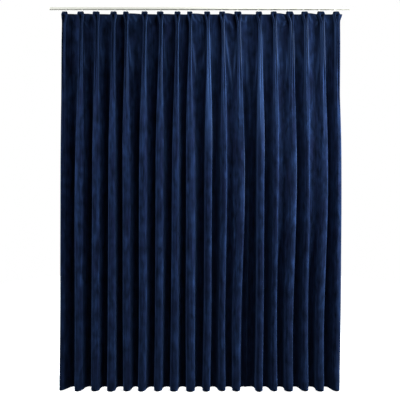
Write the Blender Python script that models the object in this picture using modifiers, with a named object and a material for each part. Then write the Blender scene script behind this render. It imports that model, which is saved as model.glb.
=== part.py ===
# A wide velvet drape with a pinch-pleated heading, hung from a slim channel rail.
# The origin is the middle of the rail's top face. +Z is up and the drape's front faces -Y.

import math

import bmesh
import bpy

MM = 0.001

# Rail: a C-shaped channel, open downwards along a slot
RAIL_LENGTH = 1.985
RAIL_DEPTH = 0.016
RAIL_HEIGHT = 0.012
RAIL_WALL = 0.0012
RAIL_SLOT = 0.005
RAIL_ROUNDING = 0.002
ROUNDING_STEPS = 3
CAP_PLATE = 0.0025
CAP_PLUG_LENGTH = 0.012

# Clear space between pieces that touch or nearly touch
GAP = 0.0003

# Glider: a foot that runs inside the channel, a stem through the slot and an eye below it
GLIDER_FOOT = (0.007, 0.0105, 0.003)
GLIDER_PLATE = 0.002
GLIDER_STEM_WIDTH = 0.004
EYE_CENTRE_BELOW_RAIL = 0.0085
EYE_OUTER_RADIUS = 0.0052
EYE_HOLE_RADIUS = 0.0032
EYE_STEPS = 14

# Hook: a flat bar behind the tape, turned over through the glider's eye
HOOK_BAR = 0.0024
HOOK_WIDTH = 0.003
HOOK_TAIL = 0.008
HOOK_FILLET = 0.001
HOOK_BEND_STEPS = 8
HOOK_LENGTH_BELOW_HEADING = 0.042

# Drape
HEADING_BELOW_ORIGIN = 0.048
DROP = 2.450
CLOTH_THICKNESS = 0.002
CLOTH_AT_HEADING_Y = -0.0085
CLOTH_AT_VALLEY_Y = 0.010
TAPE_HEIGHT = 0.075
TAPE_THICKNESS = 0.001
TAPE_BELOW_HEADING = 0.004

# How far down the cloth the pleats keep their stitched shape, and where they have fallen open
PLEATS_HOLD_TO = 0.085
PLEATS_OPEN_BY = 0.95
DENT_GONE_BY = 0.10
VALLEY_BACK_BY = 0.60

# The pleats narrow from the top edge to the foot of the tape, where they are pinched together
PINCHED_WIDTH = 0.76

# The side edges turn back behind the outermost folds: the left one around a tight corner, the
# right one in a wide roll
LEFT_EDGE_SHARE = 0.30
RIGHT_EDGE_SHARE = 0.40
LEFT_EDGE_CORNER = 0.007
LEFT_CORNER_SHARE = 0.10
LEFT_EDGE_BACK_BY = 0.65
RIGHT_EDGE_ROLL = 0.024
RIGHT_ROLL_SHARE = 0.25

# Distances below the heading's top edge at which the tables give the folds' places
STATIONS = {"head": 0.0, "neck": 0.08, "chest": 0.572, "waist": 1.217, "knee": 1.990, "hem": 2.450}

# One row a fold, left to right: its crest's sideways place at each station and its depth, in mm,
# then how steep its left and right sides are in the middle and at the hem (0 is a plain wave,
# over 1 overhangs)
FOLD_COLUMNS = (
    "head", "neck", "chest", "waist", "knee", "hem", "depth",
    "left_middle", "right_middle", "left_hem", "right_hem",
)
FOLDS = (
    (-886, -893, -902, -903, -905, -909, 48, 1.0, -0.2, 1.0, 0.0),
    (-779, -776, -786, -796, -794, -794, 57, 1.1, 0.1, 1.1, 0.5),
    (-679, -672, -682, -684, -686, -685, 56, 1.1, 0.3, 1.1, 0.9),
    (-565, -566, -573, -577, -577, -580, 59, 1.1, 0.5, 1.2, 1.1),
    (-486, -481, -487, -484, -482, -476, 55, 1.0, 0.2, 1.0, 0.7),
    (-364, -362, -373, -379, -376, -383, 60, 1.1, 0.1, 1.1, 0.5),
    (-263, -258, -267, -270, -273, -278, 57, 1.1, 0.3, 1.1, 0.8),
    (-150, -152, -159, -165, -168, -173, 58, 1.0, 0.5, 1.2, 0.8),
    (-71, -66, -75, -70, -72, -66, 62, 1.1, 0.3, 1.2, 1.1),
    (42, 49, 57, 52, 48, 38, 60, 1.0, 1.1, 1.0, 1.2),
    (139, 145, 153, 157, 141, 140, 56, 0.3, 1.2, 0.5, 1.2),
    (241, 250, 263, 270, 238, 234, 57, 0.4, 1.1, 1.2, 0.9),
    (378, 387, 394, 391, 386, 378, 61, 0.9, 1.2, 0.9, 1.2),
    (474, 483, 491, 492, 478, 476, 56, 0.3, 1.2, 0.5, 1.2),
    (577, 591, 597, 601, 575, 574, 59, 0.3, 1.2, 1.1, 1.2),
    (675, 684, 693, 696, 680, 676, 55, 0.3, 1.2, 0.5, 1.2),
    (780, 790, 799, 807, 778, 777, 59, 0.3, 1.2, 1.1, 1.1),
    (880, 883, 891, 892, 887, 880, 55, 0.2, 1.0, 0.4, 1.0),
)

# One row a valley, named by the fold on its left: its place between the two folds and its depth
# as a share of theirs, at chest, waist and hem, then the widest side of a fold in mm
VALLEY_COLUMNS = (
    "fold", "chest_place", "waist_place", "hem_place",
    "chest_depth", "waist_depth", "hem_depth", "flank",
)
VALLEYS = (
    (1, 0.62, 0.62, 0.60, 1.00, 1.00, 1.00, 90),
    (2, 0.64, 0.66, 0.55, 0.95, 1.00, 1.00, 90),
    (3, 0.60, 0.60, 0.52, 1.00, 1.00, 1.00, 90),
    (4, 0.50, 0.52, 0.50, 1.00, 1.00, 1.00, 60),
    (5, 0.62, 0.62, 0.52, 0.90, 1.00, 1.00, 90),
    (6, 0.60, 0.60, 0.55, 0.95, 1.00, 1.00, 90),
    (7, 0.60, 0.60, 0.52, 1.00, 1.00, 1.00, 90),
    (8, 0.55, 0.52, 0.50, 1.00, 1.00, 1.00, 60),
    (9, 0.60, 0.60, 0.52, 0.85, 0.95, 1.00, 90),
    (10, 0.45, 0.38, 0.42, 1.00, 1.00, 1.00, 80),
    (11, 0.74, 0.18, 0.42, 0.42, 0.50, 1.00, 110),
    (12, 0.50, 0.50, 0.50, 1.00, 1.00, 1.00, 46),
    (13, 0.50, 0.42, 0.45, 1.00, 1.00, 1.00, 60),
    (14, 0.72, 0.16, 0.40, 0.42, 0.50, 1.00, 110),
    (15, 0.46, 0.40, 0.45, 1.00, 1.00, 1.00, 80),
    (16, 0.72, 0.16, 0.42, 0.42, 0.50, 1.00, 110),
    (17, 0.45, 0.35, 0.40, 1.00, 1.00, 1.00, 90),
)

# Half a pinch pleat seen from above, from its centre outwards: share of the cloth from one pleat
# to the next, then mm sideways, mm forward and mm by which the centre is pinched in at the top
PLEAT_COLUMNS = ("share", "sideways", "forward", "dent")
PLEAT = (
    (0.00, 0, 34, 17),
    (0.07, 10, 35, 0),
    (0.14, 18, 28, 0),
    (0.22, 16, 12, 0),
    (0.30, 21, 1, 0),
)
FLAT_SHARE = 0.40
VALLEY_SHARE = 0.50

# Heights of the sheet's rows, as distances below its top edge
ROW_DROPS = (0.0, 0.045, 0.095, 0.17, 0.29, 0.50, 0.95, 1.45, 1.99, DROP)

COLLECTION_NAME = "velvet_drape_on_rail"


def named_rows(columns, rows):
    return [dict(zip(columns, row)) for row in rows]


folds = named_rows(FOLD_COLUMNS, FOLDS)
valleys = named_rows(VALLEY_COLUMNS, VALLEYS)
pleat_rows = named_rows(PLEAT_COLUMNS, PLEAT)


def clear_objects():
    for item in list(bpy.data.objects):
        bpy.data.objects.remove(item, do_unlink=True)


def new_collection(name):
    collection = bpy.data.collections.new(name)
    bpy.context.scene.collection.children.link(collection)
    return collection


def new_material(name, colour, roughness, metallic=0.0):
    material = bpy.data.materials.new(name)
    material.use_nodes = True
    shader = material.node_tree.nodes["Principled BSDF"]
    shader.inputs["Base Color"].default_value = (*colour, 1.0)
    shader.inputs["Roughness"].default_value = roughness
    shader.inputs["Metallic"].default_value = metallic
    return material


def add_object(name, mesh, material, collection):
    item = bpy.data.objects.new(name, mesh)
    mesh.materials.clear()
    mesh.materials.append(material)
    collection.objects.link(item)
    return item


def smooth_step(value, start, end):
    share = min(1.0, max(0.0, (value - start) / (end - start)))
    return share * share * (3.0 - 2.0 * share)


def mix(first, second, share):
    return first + (second - first) * share


def smooth_through(stops, values, at):
    """A smooth curve through one value at each stop."""
    last = len(stops) - 1
    at = min(max(at, stops[0]), stops[last])
    slopes = []
    for index in range(len(stops)):
        before = max(index - 1, 0)
        after = min(index + 1, last)
        slopes.append((values[after] - values[before]) / (stops[after] - stops[before]))
    lower = 0
    while lower < last - 1 and at > stops[lower + 1]:
        lower += 1
    span = stops[lower + 1] - stops[lower]
    t = (at - stops[lower]) / span
    return ((2 * t ** 3 - 3 * t ** 2 + 1) * values[lower]
            + (t ** 3 - 2 * t ** 2 + t) * span * slopes[lower]
            + (3 * t ** 2 - 2 * t ** 3) * values[lower + 1]
            + (t ** 3 - t ** 2) * span * slopes[lower + 1])


def fold_place(fold, drop):
    """Sideways place of a fold's crest."""
    return smooth_through(list(STATIONS.values()), [fold[name] * MM for name in STATIONS], drop)


def valley_at(number, drop):
    """Where the valley right of a fold lies between the folds, and its depth as a share of theirs."""
    valley = valleys[number]
    stops = [STATIONS["chest"], STATIONS["waist"], STATIONS["hem"]]
    places = [valley["chest_place"], valley["waist_place"], valley["hem_place"]]
    depths = [valley["chest_depth"], valley["waist_depth"], valley["hem_depth"]]
    return smooth_through(stops, places, drop), smooth_through(stops, depths, drop)


def pleat_section(share, half_gap, drop):
    """Sideways and forward distance from a pleat's centre, where the tape holds the pleat."""
    last = pleat_rows[-1]
    if share > last["share"]:
        along = (share - last["share"]) / (VALLEY_SHARE - last["share"])
        forward = last["forward"] * MM * (1.0 - along)
        return mix(last["sideways"] * MM, half_gap, along), forward
    dent_left = 1.0 - smooth_step(drop, 0.0, DENT_GONE_BY)
    for inner, outer in zip(pleat_rows, pleat_rows[1:]):
        if share <= outer["share"]:
            along = (share - inner["share"]) / (outer["share"] - inner["share"])
            inner_forward = inner["forward"] - inner["dent"] * dent_left
            outer_forward = outer["forward"] - outer["dent"] * dent_left
            sideways = mix(inner["sideways"], outer["sideways"], along)
            width = mix(1.0, PINCHED_WIDTH, smooth_step(drop, 0.0, PLEATS_HOLD_TO))
            return sideways * width * MM, mix(inner_forward, outer_forward, along) * MM


def hanging_section(number, across, drop):
    """Where free cloth hangs, from one fold's crest (0) to the next one's (1)."""
    first = folds[number]
    second = folds[number + 1]
    left = fold_place(first, drop)
    gap = fold_place(second, drop) - left
    place, depth_share = valley_at(number, drop)
    flank = valleys[number]["flank"] * MM / gap
    hemward = smooth_step(drop, STATIONS["waist"], STATIONS["hem"])
    if across < place:
        reach = min(place, flank)
        turn = min(0.5, across / (2 * reach))
        steepness = mix(first["right_middle"], first["right_hem"], hemward)
    else:
        reach = min(1 - place, flank)
        turn = max(0.5, 1 - (1 - across) / (2 * reach))
        steepness = mix(second["left_middle"], second["left_hem"], hemward)
    wave = math.sin(4 * math.pi * turn) / (2 * math.pi)
    sideways = left + gap * (across + steepness * depth_share * reach * wave)
    depth = mix(first["depth"], second["depth"], across) * MM
    return sideways, depth * (1.0 - depth_share * (1.0 - math.cos(2 * math.pi * turn)) / 2)


def edge_section(number, side, share, drop):
    """Where a free side edge hangs, turned back from its fold's crest."""
    crest = fold_place(folds[number], drop)
    depth = folds[number]["depth"] * MM
    if side < 0:
        around = min(1.0, share / LEFT_CORNER_SHARE)
        back_by = LEFT_EDGE_BACK_BY * smooth_step(share, 0.0, LEFT_EDGE_SHARE)
        return crest - LEFT_EDGE_CORNER * around, depth * (1.0 - back_by)
    around = min(1.0, share / RIGHT_ROLL_SHARE)
    sideways = crest + RIGHT_EDGE_ROLL * math.sin(around * math.pi / 2)
    return sideways, depth * (1.0 + math.cos(2 * math.pi * share)) / 2


def cloth_point(number, side_share, drop):
    """Middle of the cloth at a signed share of the way from a fold's crest to the next one."""
    side = 1 if side_share > 0 else -1
    share = abs(side_share)
    centre = fold_place(folds[number], drop)
    at_edge = not 0 <= number + side < len(folds)
    if at_edge:
        half_gap = abs(fold_place(folds[number - side], drop) - centre) / 2
        hanging = edge_section(number, side, share, drop)
    else:
        half_gap = abs(fold_place(folds[number + side], drop) - centre) / 2
        if side > 0:
            hanging = hanging_section(number, share, drop)
        else:
            hanging = hanging_section(number - 1, 1.0 - share, drop)
    opened = smooth_step(drop, PLEATS_HOLD_TO, PLEATS_OPEN_BY)
    sideways, forward = pleat_section(share, half_gap, drop)
    x = mix(centre + side * sideways, hanging[0], opened)
    back = mix(CLOTH_AT_HEADING_Y, CLOTH_AT_VALLEY_Y,
               smooth_step(drop, PLEATS_HOLD_TO, VALLEY_BACK_BY))
    return (x, back - mix(forward, hanging[1], opened), -HEADING_BELOW_ORIGIN - drop)


def cloth_columns():
    """Fold number and signed share of each column of the sheet, left to right."""
    shares = [row["share"] for row in pleat_rows] + [FLAT_SHARE]
    columns = []
    for number in range(len(folds)):
        around = [-share for share in reversed(shares[1:])] + shares + [VALLEY_SHARE]
        for side_share in around:
            if number == 0 and side_share < -LEFT_EDGE_SHARE:
                continue
            if number == len(folds) - 1 and side_share > RIGHT_EDGE_SHARE:
                continue
            columns.append((number, side_share))
    return columns


def make_drape(material, collection):
    columns = cloth_columns()
    bpy.ops.mesh.primitive_grid_add(
        x_subdivisions=len(columns) - 1, y_subdivisions=len(ROW_DROPS) - 1, size=1.0)
    grid = bpy.context.object
    mesh = grid.data
    for vertex in mesh.vertices:
        column = round((vertex.co.x + 0.5) * (len(columns) - 1))
        row = round((0.5 - vertex.co.y) * (len(ROW_DROPS) - 1))
        vertex.co = cloth_point(*columns[column], ROW_DROPS[row])
    bpy.data.objects.remove(grid)
    drape = add_object("drape", mesh, material, collection)
    mesh.shade_smooth()
    thickness = drape.modifiers.new("cloth thickness", "SOLIDIFY")
    thickness.thickness = CLOTH_THICKNESS
    thickness.offset = 0.0
    return drape


def make_heading_tape(material, collection):
    """A straight ribbon behind the heading, from the left edge to the right edge."""
    left = cloth_point(0, -LEFT_EDGE_SHARE, 0.0)[0]
    right = cloth_point(len(folds) - 1, RIGHT_EDGE_SHARE, 0.0)[0]
    front_y = CLOTH_AT_HEADING_Y + CLOTH_THICKNESS / 2 + GAP
    top_z = -HEADING_BELOW_ORIGIN - TAPE_BELOW_HEADING
    bpy.ops.mesh.primitive_cube_add(size=1.0)
    block = bpy.context.object
    mesh = block.data
    for vertex in mesh.vertices:
        vertex.co.x *= right - left
        vertex.co.y *= TAPE_THICKNESS
        vertex.co.z *= TAPE_HEIGHT
    bpy.data.objects.remove(block)
    tape = add_object("heading_tape", mesh, material, collection)
    tape.location = ((left + right) / 2, front_y + TAPE_THICKNESS / 2, top_z - TAPE_HEIGHT / 2)
    return tape


def arc(centre, radius, start, end, steps):
    """Points on an arc, with its angles in degrees."""
    points = []
    for step in range(steps + 1):
        angle = math.radians(mix(start, end, step / steps))
        points.append((centre[0] + radius * math.cos(angle), centre[1] + radius * math.sin(angle)))
    return points


def extruded_mesh(name, outlines, thickness, turn):
    """A closed mesh from flat outlines, turned into place. The first outline is the outer one."""
    curve = bpy.data.curves.new(name, "CURVE")
    curve.dimensions = "2D"
    curve.fill_mode = "BOTH"
    curve.extrude = thickness / 2
    for outline in outlines:
        spline = curve.splines.new("POLY")
        spline.points.add(len(outline) - 1)
        for point, place in zip(spline.points, outline):
            point.co = (place[0], place[1], 0.0, 1.0)
        spline.use_cyclic_u = True
    flat = bpy.data.objects.new(name, curve)
    bpy.context.scene.collection.objects.link(flat)
    flat.rotation_euler = turn
    bpy.context.view_layer.update()
    evaluated = flat.evaluated_get(bpy.context.evaluated_depsgraph_get())
    mesh = bpy.data.meshes.new_from_object(evaluated)
    mesh.transform(flat.matrix_world)
    bpy.data.objects.remove(flat)
    bpy.data.curves.remove(curve)
    shape = bmesh.new()
    shape.from_mesh(mesh)
    bmesh.ops.remove_doubles(shape, verts=shape.verts, dist=0.00001)
    bmesh.ops.recalc_face_normals(shape, faces=shape.faces)
    shape.to_mesh(mesh)
    shape.free()
    return mesh


def box_mesh(name, low, high):
    mesh = bpy.data.meshes.new(name)
    shape = bmesh.new()
    bmesh.ops.create_cube(shape, size=1.0)
    for vertex in shape.verts:
        for axis in range(3):
            vertex.co[axis] = mix(low[axis], high[axis], vertex.co[axis] + 0.5)
    shape.to_mesh(mesh)
    shape.free()
    return mesh


def joined_mesh(name, first, second):
    """The union of two meshes that run into each other, as one closed mesh."""
    scene_objects = bpy.context.scene.collection.objects
    body = bpy.data.objects.new(name, first)
    added = bpy.data.objects.new(name + "_added", second)
    scene_objects.link(body)
    scene_objects.link(added)
    union = body.modifiers.new("union", "BOOLEAN")
    union.operation = "UNION"
    union.object = added
    bpy.context.view_layer.update()
    evaluated = body.evaluated_get(bpy.context.evaluated_depsgraph_get())
    mesh = bpy.data.meshes.new_from_object(evaluated)
    bpy.data.objects.remove(body)
    bpy.data.objects.remove(added)
    return mesh


# Turns that stand a flat outline up: along the rail, or facing the front
SECTION_ALONG_X = (math.pi / 2, 0.0, math.pi / 2)
OUTLINE_FACING_FRONT = (math.pi / 2, 0.0, 0.0)


def rail_outer_side(side):
    """Outer corner points of one side of the rail's section, from the slot to the top face."""
    centre = (side * (RAIL_DEPTH / 2 - RAIL_ROUNDING), -RAIL_HEIGHT + RAIL_ROUNDING)
    if side > 0:
        corner = arc(centre, RAIL_ROUNDING, -90, 0, ROUNDING_STEPS)
    else:
        corner = arc(centre, RAIL_ROUNDING, -90, -180, ROUNDING_STEPS)
    return corner + [(side * RAIL_DEPTH / 2, 0.0)]


def make_rail(material, collection):
    inner = RAIL_DEPTH / 2 - RAIL_WALL
    lip = RAIL_SLOT / 2
    right = [(lip, -RAIL_HEIGHT)] + rail_outer_side(1)
    left = [(-lip, -RAIL_HEIGHT)] + rail_outer_side(-1)
    channel = [
        (-lip, -RAIL_HEIGHT + RAIL_WALL),
        (-inner, -RAIL_HEIGHT + RAIL_WALL),
        (-inner, -RAIL_WALL),
        (inner, -RAIL_WALL),
        (inner, -RAIL_HEIGHT + RAIL_WALL),
        (lip, -RAIL_HEIGHT + RAIL_WALL),
    ]
    outline = right + list(reversed(left)) + channel
    mesh = extruded_mesh("rail", [outline], RAIL_LENGTH, SECTION_ALONG_X)
    return add_object("rail", mesh, material, collection)


def make_rail_cap(name, side, material, collection):
    """A plate over the rail's end, with a plug that sits inside the channel."""
    outline = rail_outer_side(1) + list(reversed(rail_outer_side(-1)))
    plate = extruded_mesh(name, [outline], CAP_PLATE, SECTION_ALONG_X)
    inner_face = side * (RAIL_LENGTH / 2 + GAP)
    plate_middle = inner_face + side * CAP_PLATE / 2
    for vertex in plate.vertices:
        vertex.co.x += plate_middle
    half_width = RAIL_DEPTH / 2 - RAIL_WALL - GAP
    ends = sorted((plate_middle, inner_face - side * CAP_PLUG_LENGTH))
    low = (ends[0], -half_width, -RAIL_HEIGHT + RAIL_WALL + GAP)
    high = (ends[1], half_width, -RAIL_WALL - GAP)
    mesh = joined_mesh(name, plate, box_mesh(name + "_plug", low, high))
    return add_object(name, mesh, material, collection)


def eye_centre_z():
    return -RAIL_HEIGHT - EYE_CENTRE_BELOW_RAIL


def glider_mesh():
    """Foot in the channel, stem through the slot and an eye that faces the front, at x = 0."""
    centre = (0.0, eye_centre_z())
    foot_bottom = -RAIL_HEIGHT + RAIL_WALL + GAP
    half_stem = GLIDER_STEM_WIDTH / 2
    stem_angle = math.degrees(math.acos(half_stem / EYE_OUTER_RADIUS))
    around = arc(centre, EYE_OUTER_RADIUS, 180 - stem_angle, 360 + stem_angle, EYE_STEPS)
    stem_top = foot_bottom + GLIDER_FOOT[2] / 2
    outline = around + [(half_stem, stem_top), (-half_stem, stem_top)]
    hole = arc(centre, EYE_HOLE_RADIUS, 0, 360, EYE_STEPS)[:-1]
    plate = extruded_mesh("glider", [outline, hole], GLIDER_PLATE, OUTLINE_FACING_FRONT)
    low = (-GLIDER_FOOT[0] / 2, -GLIDER_FOOT[1] / 2, foot_bottom)
    high = (GLIDER_FOOT[0] / 2, GLIDER_FOOT[1] / 2, foot_bottom + GLIDER_FOOT[2])
    return joined_mesh("glider", plate, box_mesh("glider_foot", low, high))


def hook_mesh():
    """A flat bar on edge: up behind the tape, through the eye and down again behind it."""
    half = HOOK_BAR / 2
    tape_back = CLOTH_AT_HEADING_Y + CLOTH_THICKNESS / 2 + 2 * GAP + TAPE_THICKNESS
    shank_y = tape_back + half
    tail_y = GLIDER_PLATE / 2 + GAP + half
    flat_to_flat = EYE_HOLE_RADIUS * math.cos(math.pi / EYE_STEPS)
    rim_depth = math.sqrt(flat_to_flat ** 2 - (HOOK_WIDTH / 2) ** 2)
    over_z = eye_centre_z() - rim_depth + GAP + half
    bottom_z = -HEADING_BELOW_ORIGIN - HOOK_LENGTH_BELOW_HEADING
    middle_y = (shank_y + tail_y) / 2
    bend = (tail_y - shank_y) / 2
    outer_bend = arc((middle_y, over_z + half - bend - half), bend + half, 180, 0,
                     HOOK_BEND_STEPS)
    inner_top = over_z - half
    outline = [(shank_y - half, bottom_z)] + outer_bend
    outline += [(tail_y + half, over_z - HOOK_TAIL), (tail_y - half, over_z - HOOK_TAIL)]
    outline += [(tail_y - half, inner_top)]
    outline += [(shank_y + half + HOOK_FILLET, inner_top)]
    outline += [(shank_y + half, inner_top - HOOK_FILLET)]
    outline += [(shank_y + half, bottom_z)]
    return extruded_mesh("hook", [outline], HOOK_WIDTH, SECTION_ALONG_X)


def make_fittings(material, collection):
    """One glider and one hook at each pleat."""
    glider = glider_mesh()
    hook = hook_mesh()
    for number, fold in enumerate(folds, start=1):
        for name, mesh in (("glider", glider), ("hook", hook)):
            item = add_object(f"{name}_{number:02d}", mesh, material, collection)
            item.location.x = fold["head"] * MM


def main():
    clear_objects()
    collection = new_collection(COLLECTION_NAME)
    velvet = new_material("navy velvet", (0.012, 0.022, 0.055), 0.85)
    webbing = new_material("heading tape", (0.72, 0.72, 0.70), 0.9)
    lacquer = new_material("rail lacquer", (0.84, 0.84, 0.78), 0.4)
    plastic = new_material("white plastic", (0.85, 0.85, 0.83), 0.45)
    make_rail(lacquer, collection)
    make_rail_cap("rail_cap_left", -1, plastic, collection)
    make_rail_cap("rail_cap_right", 1, plastic, collection)
    make_fittings(plastic, collection)
    make_heading_tape(webbing, collection)
    make_drape(velvet, collection)


main()
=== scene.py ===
import math

import bpy
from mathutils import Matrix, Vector, noise


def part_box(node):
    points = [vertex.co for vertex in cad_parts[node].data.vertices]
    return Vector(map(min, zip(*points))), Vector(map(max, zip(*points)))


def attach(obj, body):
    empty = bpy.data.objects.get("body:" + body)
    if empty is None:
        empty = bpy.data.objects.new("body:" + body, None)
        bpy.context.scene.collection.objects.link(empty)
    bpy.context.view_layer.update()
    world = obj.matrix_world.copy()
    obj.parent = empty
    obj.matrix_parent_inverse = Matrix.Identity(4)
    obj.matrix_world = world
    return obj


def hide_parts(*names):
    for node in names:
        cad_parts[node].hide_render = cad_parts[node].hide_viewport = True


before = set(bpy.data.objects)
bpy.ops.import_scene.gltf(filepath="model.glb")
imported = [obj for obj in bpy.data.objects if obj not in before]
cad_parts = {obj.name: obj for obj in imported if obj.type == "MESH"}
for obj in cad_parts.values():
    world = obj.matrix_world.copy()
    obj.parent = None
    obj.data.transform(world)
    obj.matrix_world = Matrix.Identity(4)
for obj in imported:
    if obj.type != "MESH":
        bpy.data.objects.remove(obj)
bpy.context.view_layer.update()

drapeLow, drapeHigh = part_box("drape")
tapeLow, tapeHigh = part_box("heading_tape")
bpy.ops.object.select_all(action="DESELECT")
mm = 0.001

# Camera: a 30 mm lens straight on, level with the middle of the drape
cameraSetup = {
    "lens": 30.0,
    "sensor": 36.0,
    "sideways": -0.0043,
    "distance": 2.1875,
    "height": -1.265,
}


def addCamera(setup):
    data = bpy.data.cameras.new("camera")
    data.lens = setup["lens"]
    data.sensor_width = setup["sensor"]
    camera = bpy.data.objects.new("camera", data)
    bpy.context.scene.collection.objects.link(camera)
    clothFront = (tapeLow.y + tapeHigh.y) / 2
    camera.location = (setup["sideways"], clothFront - setup["distance"], setup["height"])
    camera.rotation_euler = (math.pi / 2, 0, 0)
    bpy.context.scene.camera = camera


addCamera(cameraSetup)
print("camera placed")


def mix(first, second, share):
    return first + (second - first) * share


def smoothStep(value, start, end):
    share = min(1.0, max(0.0, (value - start) / (end - start)))
    return share * share * (3 - 2 * share)


def smoothThrough(stops, values, at):
    # a smooth curve through values at the given stops
    last = len(stops) - 1
    at = min(max(at, stops[0]), stops[last])
    lower = 0
    while lower < last - 1 and at > stops[lower + 1]:
        lower += 1

    def slope(index):
        before, after = max(index - 1, 0), min(index + 1, last)
        return (values[after] - values[before]) / (stops[after] - stops[before])

    span = stops[lower + 1] - stops[lower]
    t = (at - stops[lower]) / span
    return ((2 * t ** 3 - 3 * t ** 2 + 1) * values[lower]
            + (t ** 3 - 2 * t ** 2 + t) * span * slope(lower)
            + (3 * t ** 2 - 2 * t ** 3) * values[lower + 1]
            + (t ** 3 - t ** 2) * span * slope(lower + 1))


# Material building blocks
def newMaterial(name):
    material = bpy.data.materials.new(name)
    material.use_nodes = True
    tree = material.node_tree
    tree.nodes.clear()
    output = tree.nodes.new("ShaderNodeOutputMaterial")
    shader = tree.nodes.new("ShaderNodeBsdfPrincipled")
    tree.links.new(shader.outputs["BSDF"], output.inputs["Surface"])
    return material, tree, shader


def addNode(tree, kind, settings=None, inputs=None):
    node = tree.nodes.new(kind)
    for name, value in (settings or {}).items():
        setattr(node, name, value)
    for name, value in (inputs or {}).items():
        node.inputs[name].default_value = value
    return node


def newGroup(name, inputs, outputs):
    group = bpy.data.node_groups.new(name, "ShaderNodeTree")
    for label, kind, value in inputs:
        socket = group.interface.new_socket(label, in_out="INPUT", socket_type=kind)
        if value is not None:
            socket.default_value = value
    for label, kind in outputs:
        group.interface.new_socket(label, in_out="OUTPUT", socket_type=kind)
    start = group.nodes.new("NodeGroupInput")
    end = group.nodes.new("NodeGroupOutput")
    return group, start, end


def stretchedNoise():
    # noise on the cloth's own flat coordinates, stretched along the drop, out as a 0 to 1 mask
    group, start, end = newGroup(
        "stretched noise",
        [("Across", "NodeSocketFloat", 20.0), ("Along", "NodeSocketFloat", 6.0),
         ("Detail", "NodeSocketFloat", 4.0), ("From", "NodeSocketFloat", 0.35),
         ("To", "NodeSocketFloat", 0.65), ("Seed", "NodeSocketFloat", 0.0)],
        [("Mask", "NodeSocketFloat")])
    flat = group.nodes.new("ShaderNodeUVMap")
    flat.uv_map = "flat"
    scale = group.nodes.new("ShaderNodeCombineXYZ")
    group.links.new(start.outputs["Across"], scale.inputs["X"])
    group.links.new(start.outputs["Along"], scale.inputs["Y"])
    stretched = addNode(group, "ShaderNodeVectorMath", {"operation": "MULTIPLY"})
    group.links.new(flat.outputs["UV"], stretched.inputs[0])
    group.links.new(scale.outputs["Vector"], stretched.inputs[1])
    clouds = addNode(group, "ShaderNodeTexNoise", {"noise_dimensions": "4D"}, {"Scale": 1.0})
    group.links.new(stretched.outputs["Vector"], clouds.inputs["Vector"])
    group.links.new(start.outputs["Seed"], clouds.inputs["W"])
    group.links.new(start.outputs["Detail"], clouds.inputs["Detail"])
    spread = addNode(group, "ShaderNodeMapRange", {"clamp": True})
    group.links.new(clouds.outputs["Fac"], spread.inputs["Value"])
    group.links.new(start.outputs["From"], spread.inputs["From Min"])
    group.links.new(start.outputs["To"], spread.inputs["From Max"])
    group.links.new(spread.outputs["Result"], end.inputs["Mask"])
    return group


noiseGroup = stretchedNoise()


def addNoise(tree, **values):
    node = tree.nodes.new("ShaderNodeGroup")
    node.node_tree = noiseGroup
    for name, value in values.items():
        node.inputs[name.capitalize()].default_value = value
    return node


def mixColours(tree, factor, first, second, mode="MIX"):
    node = addNode(tree, "ShaderNodeMix", {"data_type": "RGBA", "blend_type": mode})
    for socket, value in ((node.inputs[0], factor), (node.inputs[6], first), (node.inputs[7], second)):
        if isinstance(value, bpy.types.NodeSocket):
            tree.links.new(value, socket)
        elif isinstance(value, tuple):
            socket.default_value = (*value, 1.0)
        else:
            socket.default_value = value
    return node.outputs[2]


velvetLook = {
    "base": (0.0085, 0.0128, 0.043),
    # colour of the painted highlight
    "lit": (0.0350, 0.0740, 0.195),
    "brushed": (0.0145, 0.0330, 0.099),
    # colour of the painted rim highlights
    "rim": (0.082, 0.124, 0.228),
    "ruffled": (0.0026, 0.0044, 0.012),
    # colour of the painted shade
    "paintedShade": (0.0012, 0.0022, 0.007),
    "roughness": 0.9,
    "sheen": 0.30,
    # less sheen on the shaded copy of the velvet, which paints shade over the heads' tops and the top edge
    "shadedCapSheen": 0.12,
    "sheenRoughness": 0.5,
    "sheenTint": (0.18, 0.36, 0.88, 1.0),
}


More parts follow.
